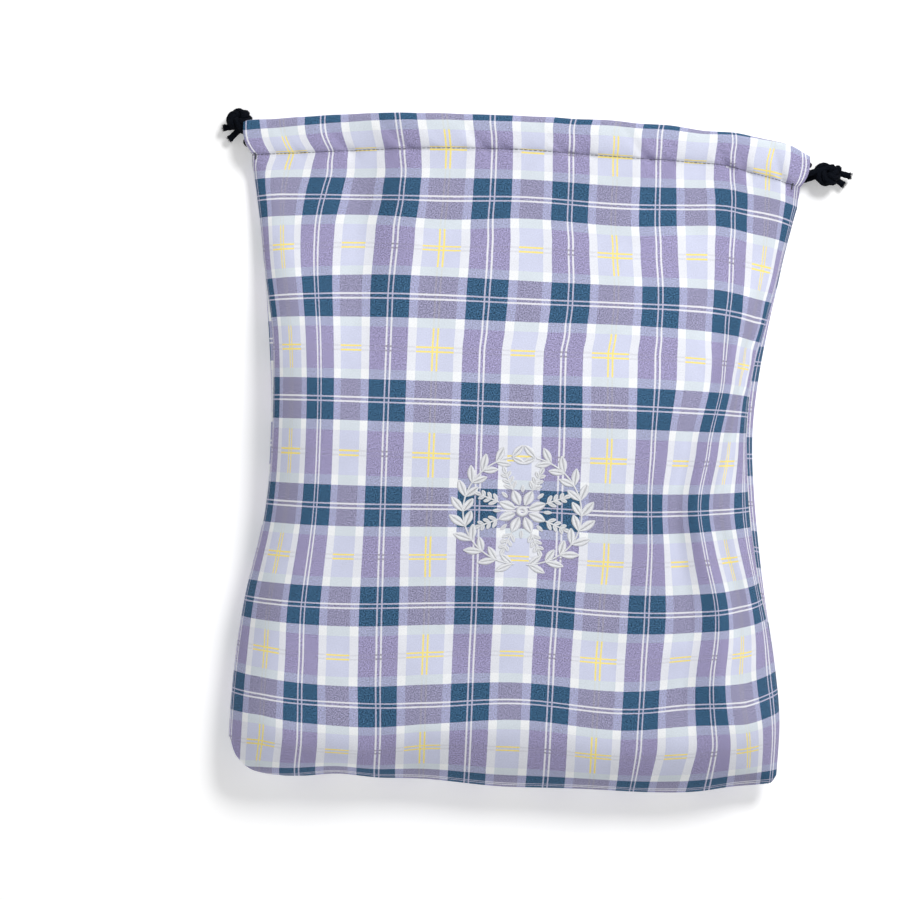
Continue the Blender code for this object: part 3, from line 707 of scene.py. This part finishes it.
def new_piece(name, points, faces, material, uvs=None):
    mesh = bpy.data.meshes.new(name)
    mesh.from_pydata([tuple(p) for p in points], [], faces)
    if uvs is not None:
        layer = mesh.uv_layers.new(name="flat")
        loops = np.empty(len(mesh.loops), dtype=np.int64)
        mesh.loops.foreach_get("vertex_index", loops)
        layer.data.foreach_set("uv", np.asarray(uvs)[loops].ravel())
    mesh.shade_smooth()
    for m in material if isinstance(material, (list, tuple)) else [material]:
        mesh.materials.append(m)
    return add_object(name, mesh)


def grid_faces(rows, columns, flip=False, closed=False):
    faces = []
    last = columns if closed else columns - 1
    for i in range(rows - 1):
        for j in range(last):
            k = (j + 1) % columns
            face = (i * columns + j, i * columns + k, (i + 1) * columns + k, (i + 1) * columns + j)
            faces.append(face[::-1] if flip else face)
    return faces


def tube_faces(rings, sides):
    """Faces of a closed tube with its two ends."""
    ends = [tuple(range(sides))[::-1], tuple((rings - 1) * sides + i for i in range(sides))]
    return grid_faces(rings, sides, closed=True) + ends


def thicken(obj, thickness, offset):
    solid = obj.modifiers.new("thickness", "SOLIDIFY")
    solid.thickness = thickness
    solid.offset = offset
    return solid


def cloth_piece(name, side, materials):
    """One panel of cloth with its hem, from its cut, as a thin solid."""
    across = np.linspace(CUT_LEFT, CUT_RIGHT, round((CUT_RIGHT - CUT_LEFT) / STEP) + 1)
    up = np.linspace(0.0, PANEL, round(PANEL / STEP) + 1)
    loop = np.linspace(PANEL, PANEL + 2 * HEM_LEAF, 45)[1:]
    tuck = PANEL + 2 * HEM_LEAF + np.array([0.4, 1.0]) * HEM_TUCK
    rows = np.concatenate([up, loop, tuck])
    u, v = np.meshgrid(across, rows)
    points = cloth_point(u, v, side).reshape(-1, 3)
    skew = smooth(HEM_SKEW, u) * ease((v - HEM_SKEW_START) / (PANEL - HEM_SKEW_START))
    skew = skew + smooth(FOLD_SKEW, u) * unit((v - PANEL) / HEM_LEAF)
    skew = skew - BOTTOM_SKEW * (1 - ease(v / BOTTOM_SKEW_REACH))
    slip = warp(PRINT_SLIP, u, v, SLIP_U) if side > 0 else 0.0
    uvs = np.stack([(u - slip).ravel(), (v + skew).ravel()], axis=-1)
    faces = grid_faces(len(rows), len(across), flip=side < 0)
    obj = new_piece(name, points, faces, materials, uvs)
    solid = thicken(obj, CLOTH_THICK, -1.0)
    solid.material_offset = 1
    solid.use_even_offset = False
    return obj


def thread_mesh(name, paths, normals, radii, material, sides=5):
    """Many short threads in one mesh. paths is (threads, points, 3) and radii (points,)."""
    paths = np.asarray(paths, float)
    count, points = paths.shape[:2]
    along = normed(np.gradient(paths, axis=1))
    up = np.broadcast_to(np.asarray(normals, float), paths.shape)
    across = normed(np.cross(along, up))
    up = np.cross(across, along)
    turn = np.linspace(0, 2 * math.pi, sides, endpoint=False)
    ring = across[:, :, None] * np.cos(turn)[:, None] + up[:, :, None] * np.sin(turn)[:, None]
    verts = paths[:, :, None] + ring * np.asarray(radii, float).reshape(1, -1, 1, 1)
    pattern = tube_faces(points, sides)
    faces = [tuple(k + i * points * sides for k in face) for i in range(count) for face in pattern]
    return new_piece(name, verts.reshape(-1, 3), faces, material)


def resample(points, spacing):
    """Evenly spaced points on the smooth curve through some points."""
    pts = np.array([2 * points[0] - points[1], *points, 2 * points[-1] - points[-2]])
    q = np.linspace(0, 1, 24, endpoint=False)[:, None]
    fine = []
    for a, b, c, d in zip(pts, pts[1:], pts[2:], pts[3:]):
        fine.append(0.5 * (2 * b + (c - a) * q + (2 * a - 5 * b + 4 * c - d) * q**2
                           + (3 * b - a - 3 * c + d) * q**3))
    fine = np.concatenate([*fine, pts[-2:-1]])
    lengths = np.concatenate([[0.0], np.cumsum(np.linalg.norm(np.diff(fine, axis=0), axis=1))])
    at = np.linspace(0, lengths[-1], max(3, round(lengths[-1] / spacing) + 1))
    return np.stack([np.interp(at, lengths, fine[:, k]) for k in range(3)], axis=-1)


def carried_frames(path):
    """Two directions across a path that turn with it and never spin."""
    along = normed(np.gradient(path, axis=0))
    across = [normed(np.cross(along[0], UP))]
    for t in along[1:]:
        across.append(normed(across[-1] - t * np.dot(across[-1], t)))
    across = np.array(across)
    return across, np.cross(along, across)


def braid_mesh(parts, spacing, sides, relief=0.00030):
    """Points and faces of one or more braided cords. parts are (path, whether it frays) pairs."""
    points, faces = [], []
    for path, frayed in parts:
        line = resample(path, spacing)
        across, up = carried_frames(line)
        s = np.arange(len(line))[:, None] * spacing
        turn = np.linspace(0, 2 * math.pi, sides, endpoint=False)[None]
        one = BRAID_STRANDS * turn + s / BRAID_PITCH * 2 * math.pi
        two = BRAID_STRANDS * turn - s / BRAID_PITCH * 2 * math.pi
        over = np.cos(one / 2) * np.cos(two / 2)
        bumps = np.where(over > 0, np.abs(np.cos(one / 2)), np.abs(np.cos(two / 2)))
        radius = CORD_R - relief + relief * 2 * bumps**0.8
        if frayed:
            radius = radius * mix(1.0, FRAY_WIDTH, ease((s - s[-1] + FRAY_LENGTH) / FRAY_LENGTH))
        ring = across[:, None] * np.cos(turn)[..., None] + up[:, None] * np.sin(turn)[..., None]
        verts = line[:, None] + ring * radius[..., None]
        base = sum(len(p) for p in points)
        points.append(verts.reshape(-1, 3))
        faces += [tuple(k + base for k in face) for face in tube_faces(len(line), sides)]
    return np.concatenate(points), faces


# ---- the bag ----
FRONT_CLOTH = [plaid("plaid_front", 0.0, 0.0, False), plaid("plaid_front_inside", 0.0, 0.0, True)]
BACK_CLOTH = [plaid("plaid_back", 0.047, 0.030, False), plaid("plaid_back_inside", 0.047, 0.030, True)]
front = cloth_piece("front_cloth", 1, FRONT_CLOTH)
back = cloth_piece("back_cloth", -1, BACK_CLOTH)
for cloth, node in ((front, "front_panel"), (back, "back_panel")):
    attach(cloth, "bag")
    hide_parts(node)

# ---- seam allowances inside, hem stitching and bartacks ----
ALLOWANCE = 0.008
STITCH, STITCH_GAP = 0.0026, 0.0006
THREAD_R = 0.00019
BARTACK_LENGTH, BARTACK_WIDTH = 0.0052, 0.0015


def allowance(name, u, v, inward, node):
    """The overlocked edges of both panels, turned inwards along a seam."""
    edge = cloth_point(u, v, 1)
    depth = np.linspace(0.0014, ALLOWANCE, 5)[:, None, None]
    droop = -0.10 + 0.18 * field(v + u, 0 * v, 0.03, 2.0)
    shift = np.stack([inward[0] + 0 * v, inward[1] + 0 * v, droop], -1)
    rows = edge[None] + shift[None] * depth
    piece = new_piece(name, rows.reshape(-1, 3), grid_faces(len(depth), len(edge)), SEAM_THREAD)
    thicken(piece, 2 * CLOTH_THICK, 0.0)
    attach(piece, "bag")
    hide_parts(node)


SEAM_THREAD = thread_material("overlock_thread", srgb(214, 212, 226), srgb(168, 164, 190), 0.85, 1400.0, 0.2)
up_side = np.linspace(0.014, PANEL - SLIT, 90)
over_bottom = np.linspace(CUT_LEFT + 0.006, CUT_RIGHT - 0.006, 80)
allowance("left_allowance", CUT_LEFT + 0 * up_side, up_side, (1.0, 0.0), "left_side_seam")
allowance("right_allowance", CUT_RIGHT + 0 * up_side, up_side, (-1.0, 0.0), "right_side_seam")
allowance("bottom_allowance", over_bottom, 0 * over_bottom, (0.0, 1.0), "bottom_seam")

HEM_THREAD = thread_material("lockstitch_thread", srgb(96, 98, 112), srgb(52, 54, 66), 0.75, 2500.0, 0.2)


def stitch_line(name, side, node):
    """One row of lockstitches that closes a hem, each stitch dipping into the cloth at its ends."""
    starts = np.arange(CUT_LEFT + 0.004, CUT_RIGHT - 0.006, STITCH + STITCH_GAP)
    q = np.linspace(0, 1, 6)
    u = starts[:, None] + q * STITCH
    v = PANEL + 0.00015 * field(u, 0 * u, 0.006, 4.0)
    p, n = cloth_frame(u, v, side)
    lift = mix(-0.00012, 0.00016, np.sin(math.pi * q))[None, :, None]
    piece = thread_mesh(name, p + n * lift, n, THREAD_R * np.array([0.8, 1, 1, 1, 1, 0.8]), HEM_THREAD)
    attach(piece, "bag")
    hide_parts(node)


stitch_line("front_stitches", 1, "front_hem_stitching")
stitch_line("back_stitches", -1, "back_hem_stitching")


def bartack(name, u, side, node):
    """A dense zigzag of thread along the seam, where a hem's stitching ends."""
    rows = 16
    q = np.linspace(0, 1, 5)
    at = np.linspace(-0.5, 0.5, rows)[:, None] * BARTACK_LENGTH
    swing = (q[None] - 0.5) * BARTACK_WIDTH * np.where(np.arange(rows) % 2, 1, -1)[:, None]
    p, n = cloth_frame(u + swing, PANEL + at - 0.0005 + 0 * swing, side)
    lift = (0.00005 + 0.00030 * np.sin(math.pi * q))[None, :, None]
    piece = thread_mesh(name, p + n * lift, n, THREAD_R * np.array([0.9, 1.1, 1.1, 1.1, 0.9]), HEM_THREAD)
    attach(piece, "bag")
    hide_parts(node)


bartack("front_left_tack", CUT_LEFT + 0.0030, 1, "front_left_bartack")
bartack("front_right_tack", CUT_RIGHT - 0.0090, 1, "front_right_bartack")
bartack("back_left_tack", CUT_LEFT + 0.0040, -1, "back_left_bartack")
bartack("back_right_tack", CUT_RIGHT - 0.0050, -1, "back_right_bartack")

# ---- embroidery: a rosette in a ring of leaves ----
SATIN_STEP = 0.00042
SATIN_R = 0.00026
EMBLEM_U = np.interp(EMBLEM_CENTRE.x, [s[1] for s in COLUMNS], [s[0] for s in COLUMNS])
EMBLEM_V = np.interp(EMBLEM_CENTRE.y, [s[1] for s in ROWS], [s[0] for s in ROWS])
EMBLEM_THREAD = thread_material(
    "embroidery_thread", srgb(252, 252, 252), srgb(226, 229, 236), 0.45, 2600.0, 0.4
)
satin = []  # the stitches: (start, end)


def polar(r, a):
    return r * math.cos(a), r * math.sin(a)


def satin_leaf(x, y, angle, length, width, slant=0.5):
    """A leaf of satin stitches, slanting from the midrib to each edge."""
    ca, sa = math.cos(angle), math.sin(angle)
    for edge in (-1, 1):
        for s in np.arange(0.0006, length - 0.0006, SATIN_STEP):
            reach = math.sin(math.pi * (s / length) ** 0.8) * width / 2
            tip = min(s + reach * slant, length)
            end = (x + tip * ca - edge * reach * sa, y + tip * sa + edge * reach * ca)
            satin.append(((x + s * ca, y + s * sa), end))


PETALS = 8
EYE_R, EYE_WIDTH = 0.0026, 0.0028
for i in range(PETALS):
    a = 2 * math.pi * (i + 0.5) / PETALS
    between = a + 0.39
    satin_leaf(*polar(0.0042, a), a, 0.0120, 0.0066, 0.35)
    satin_leaf(*polar(0.0130, between), between, 0.0060, 0.0026, 0.35)
for a in np.arange(0, 2 * math.pi, SATIN_STEP / EYE_R):
    satin.append((polar(EYE_R - EYE_WIDTH / 2, a), polar(EYE_R + EYE_WIDTH / 2, a + 0.4 * EYE_WIDTH / EYE_R)))
SPRAY_START, SPRAY_END = 0.0160, 0.0275
for i in range(PETALS):
    a = 2 * math.pi * (i + 0.5) / PETALS
    for r in np.arange(SPRAY_START, SPRAY_END, SATIN_STEP):
        for k in (-1, 1):
            out, off = r + 0.0006, k * 0.00045
            end = (out * math.cos(a) - off * math.sin(a), out * math.sin(a) + off * math.cos(a))
            satin.append((polar(r, a), end))
    for k, r in enumerate(np.linspace(SPRAY_START + 0.001, SPRAY_END - 0.002, 3)):
        for hand in (-1, 1):
            satin_leaf(*polar(r, a), a + hand * 0.75, 0.0066 - 0.0008 * k, 0.0027)
    satin_leaf(*polar(SPRAY_END, a), a, 0.0062, 0.0030)
WREATH_R, STEM_HALF = 0.0375, 0.0005
LEAF_PAIRS = 11
for half in (-1, 1):
    for i in range(LEAF_PAIRS):
        a = -math.pi / 2 + half * mix(0.14, math.pi - 0.20, i / (LEAF_PAIRS - 1))
        heading = a + half * math.pi / 2
        scale = 1.0 - 0.30 * abs(i / (LEAF_PAIRS - 1) - 0.4)
        for turn, length, width in ((-0.62, 0.0135, 0.0058), (0.62, 0.0120, 0.0052)):
            satin_leaf(*polar(WREATH_R, a), heading + half * turn, length * scale, width * scale)
    for a in np.arange(0.10, math.pi - 0.22, SATIN_STEP / WREATH_R):
        at = -math.pi / 2 + half * a
        satin.append((polar(WREATH_R - STEM_HALF, at), polar(WREATH_R + STEM_HALF, at + half * 0.02)))

start, end = np.array(satin)[:, :1], np.array(satin)[:, 1:]
q = np.linspace(0, 1, 4)
stitches = start + (end - start) * q[None, :, None]
uneven = [field(stitches[..., k] * 9, stitches[..., 1 - k] * 5, 0.004, 21.0 + k) for k in (0, 1)]
stitches = stitches + 0.00006 * np.stack(uneven, axis=-1)
p, n = cloth_frame(EMBLEM_U + stitches[..., 0], EMBLEM_V + stitches[..., 1])
lift = (-0.00005 + 0.00055 * np.sin(math.pi * q) ** 0.6)[None, :, None]
emblem = thread_mesh("embroidery", p + n * lift, n, SATIN_R * np.array([0.8, 1, 1, 0.8]), EMBLEM_THREAD, 4)
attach(emblem, "bag")
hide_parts("embroidered_emblem")

BACKING_HALF, BACKING_ROWS = (0.056, 0.053), 40
across, up = np.meshgrid(*[np.linspace(-half, half, BACKING_ROWS) for half in BACKING_HALF])
p, n = cloth_frame(EMBLEM_U + across, EMBLEM_V + up)
behind = p - n * (CLOTH_THICK + 0.0012 + 0.0004 * field(across, up, 0.02, 9.0))[..., None]
BACKING = Nodes("stabiliser", 0.95)
BACKING.shade("Base Color", srgb(244, 244, 242))
faces = grid_faces(BACKING_ROWS, BACKING_ROWS)
backing = new_piece("embroidery_stabiliser", behind.reshape(-1, 3), faces, BACKING.material)
thicken(backing, 0.0003, -1.0)
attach(backing, "bag")
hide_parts("embroidery_backing")

# ---- drawcords ----
CORD_BLACK = thread_material("cord_black", srgb(15, 20, 30), srgb(1, 2, 7), 0.85, 1500.0, 0.0, 0.08)


def share_point(share, stations):
    x = mix(stations[0][0], stations[-1][0], share)
    return np.array([x, smooth(stations, x), 0.0])


def lane_point(share, lane, front_hem):
    """A point on a cord's line inside the front or the back hem."""
    stitch = share_point(share, HEM_STITCH)
    p = mix(stitch, share_point(share, HEM_FOLD), lane)
    p[2] = mouth_mid(stitch[0]) if front_hem else HEM_HALF
    return p


def cord_run(name, lanes, end, pull, node):
    """The part of a drawcord that stays in the hems and turns round at the far side."""
    far = 1 - end
    gap = 0.0015
    reach = (PULL_LENGTH + gap) / (HEM_STITCH[-1][0] - HEM_STITCH[0][0])
    shares = np.linspace(mix(end, far, reach + 0.03), far, 30)
    inward = pull * (PULL_LENGTH + gap)
    front_start = lane_point(end, lanes[0], True) - inward
    back_start = lane_point(end, lanes[1], False) - inward
    turn_front, turn_back = lane_point(far, lanes[0], True), lane_point(far, lanes[1], False)
    half = (turn_front[2] - turn_back[2]) / 2
    points = [front_start] + [lane_point(s, lanes[0], True) for s in shares]
    for a in np.radians((60, 20, -20, -60)):
        p = mix(turn_back, turn_front, 0.5 + 0.5 * math.sin(a))
        points.append(p + np.array([1.0 if far else -1.0, 0, 0]) * (half * math.cos(a) - BEND_TUCK))
    points += [lane_point(s, lanes[1], False) for s in shares[::-1]] + [back_start]
    verts, faces = braid_mesh([(points, False)], 0.0012, 16, 0.00008)
    piece = new_piece(name, verts, faces, CORD_BLACK)
    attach(piece, "bag")
    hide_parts(node)


def knot_curve(centre, pull, turned, scale):
    """Middle line of a tight overhand knot and the direction across the doubled cord."""
    t = np.linspace(0.035, 1 - 0.035, 40) * 4 * math.pi
    ahead = np.array(pull)
    side = normed(np.cross(UP, ahead))
    rise = math.cos(turned) * UP + math.sin(turned) * side
    side = math.cos(turned) * side - math.sin(turned) * UP
    big, small = 0.0038 * scale, 0.0024 * scale
    radial = np.cos(t)[:, None] * side + np.sin(t)[:, None] * ahead
    middle = radial * (big + small * np.cos(1.5 * t))[:, None] + rise * (small * np.sin(1.5 * t))[:, None]
    normal = radial * np.cos(1.5 * t)[:, None] + rise * np.sin(1.5 * t)[:, None]
    beside = normed(np.cross(np.gradient(middle, axis=0), normal))
    return np.array(centre) + middle, beside


TIP_THREADS = 26


def cord_end(name, lanes, end, pull, centre, turned, tails, scale=1.0):
    """The moving end of a drawcord: two strands out of the hems, their knot and two tails."""
    middle, beside = knot_curve(centre, pull, turned, scale)
    parts = []
    for front_hem, shift, tip in ((True, 1, tails[0]), (False, -1, tails[1])):
        leave = lane_point(end, lanes[0] if front_hem else lanes[1], front_hem)
        inside = [leave - pull * PULL_LENGTH * q for q in (1.0, 0.8, 0.6, 0.4, 0.2, 0.07)]
        through = middle + beside * shift * CORD_R * 0.96
        lead = leave + pull * 0.0020
        parts.append((np.array([*inside, lead, *through[1:-1], tip]), True))
    verts, faces = braid_mesh(parts, 0.00034, 32)
    piece = new_piece(name, verts, faces, CORD_BLACK)
    tips = []
    for path, _ in parts:
        out = normed(path[-1] - path[-2])
        side = np.cross(out, UP)
        up = np.cross(side, out)
        for i in range(TIP_THREADS):
            a, r = i * 2.4, CORD_R * math.sqrt((i + 0.5) / TIP_THREADS)
            off = side * math.cos(a) + up * math.sin(a)
            root = path[-1] + off * r - out * 0.0004
            length = 0.0011 + 0.0009 * abs(math.sin(i * 1.7))
            spread = out + off * (0.45 * r / CORD_R)
            tips.append([root, root + spread * length * 0.5, root + (spread + off * 0.2) * length])
    radii = (0.00016, 0.00013, 0.00006)
    ends = thread_mesh(name + "_fray", np.array(tips), (0.03, 0.05, 1.0), radii, CORD_BLACK, 4)
    which = "left" if end == 0 else "right"
    for part in (piece, ends):
        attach(part, which + "_cord_end")
    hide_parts(*[which + "_cord_" + part for part in ("knot", "front_strand", "back_strand")])
    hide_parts(*[which + "_cord_" + part for part in ("long_tail", "short_tail")])


cord_run("left_cord_inside", LEFT_LANES, 0, LEFT_PULL, "left_cord_run")
cord_run("right_cord_inside", RIGHT_LANES, 1, RIGHT_PULL, "right_cord_run")
cord_end("right_cord_tied", RIGHT_LANES, 1, RIGHT_PULL, (0.1980, 0.1938, 0.0090), 0.5,
         ((0.2134, 0.1929, 0.0066), (0.2094, 0.1872, 0.0046)), 1.08)
cord_end("left_cord_tied", LEFT_LANES, 0, LEFT_PULL, (-0.1884, 0.2160, 0.0092), -0.6,
         ((-0.1985, 0.2108, 0.0062), (-0.1946, 0.2037, 0.0048)))

# ---- camera, light and floor ----
CAMERA_HEIGHT = 2.2
VIEW_WIDTH = 0.585  # what the square picture takes in at the height of the bag's edge
EDGE_HEIGHT = 0.028
VIEW_CENTRE = (-0.0431, 0.0044)
VIEW_TURN = math.radians(1.94)

camera_data = bpy.data.cameras.new("camera")
camera_data.sensor_width = 36.0
camera_data.lens = camera_data.sensor_width * (CAMERA_HEIGHT - EDGE_HEIGHT) / VIEW_WIDTH
camera = add_object("camera", camera_data)
camera.location = (*VIEW_CENTRE, CAMERA_HEIGHT)
camera.rotation_euler = (0.0, 0.0, VIEW_TURN)
bpy.context.scene.camera = camera

FLOOR_GLOW = 0.24  # the sheet behind the bag is lit until it burns out to white
floor_material = Nodes("floor", 0.9)
floor_material.shade("Base Color", (0.96, 0.96, 0.96))
floor_material.shade("Emission Color", (1.0, 1.0, 1.0))
floor_material.shade("Emission Strength", FLOOR_GLOW)
FLOOR_Z, FLOOR_HALF = -0.0004, 4
corners = [(x * FLOOR_HALF, y * FLOOR_HALF, FLOOR_Z) for x, y in ((-1, -1), (1, -1), (1, 1), (-1, 1))]
floor = new_piece("floor", corners, [(0, 1, 2, 3)], floor_material.material)

LIGHT_AIM = Vector((0.0, 0.0, 0.02))


def area_light(name, place, size, power):
    data = bpy.data.lights.new(name, "AREA")
    data.shape = "DISK"
    data.size = size
    data.energy = power
    obj = add_object(name, data)
    obj.location = place
    obj.rotation_euler = (LIGHT_AIM - Vector(place)).to_track_quat("-Z", "Y").to_euler()


area_light("key", (0.8, 1.3, 1.7), 0.75, 35.5)
area_light("low", (-0.3, -1.5, 1.2), 1.2, 5.0)
area_light("fill", (-1.2, 0.2, 1.8), 1.6, 2.2)
world = bpy.data.worlds.new("studio")
world.use_nodes = True
background = world.node_tree.nodes["Background"]
background.inputs["Color"].default_value = (1.0, 1.0, 1.0, 1.0)
background.inputs["Strength"].default_value = 0.34
bpy.context.scene.world = world
bpy.context.scene.view_settings.view_transform = "Standard"
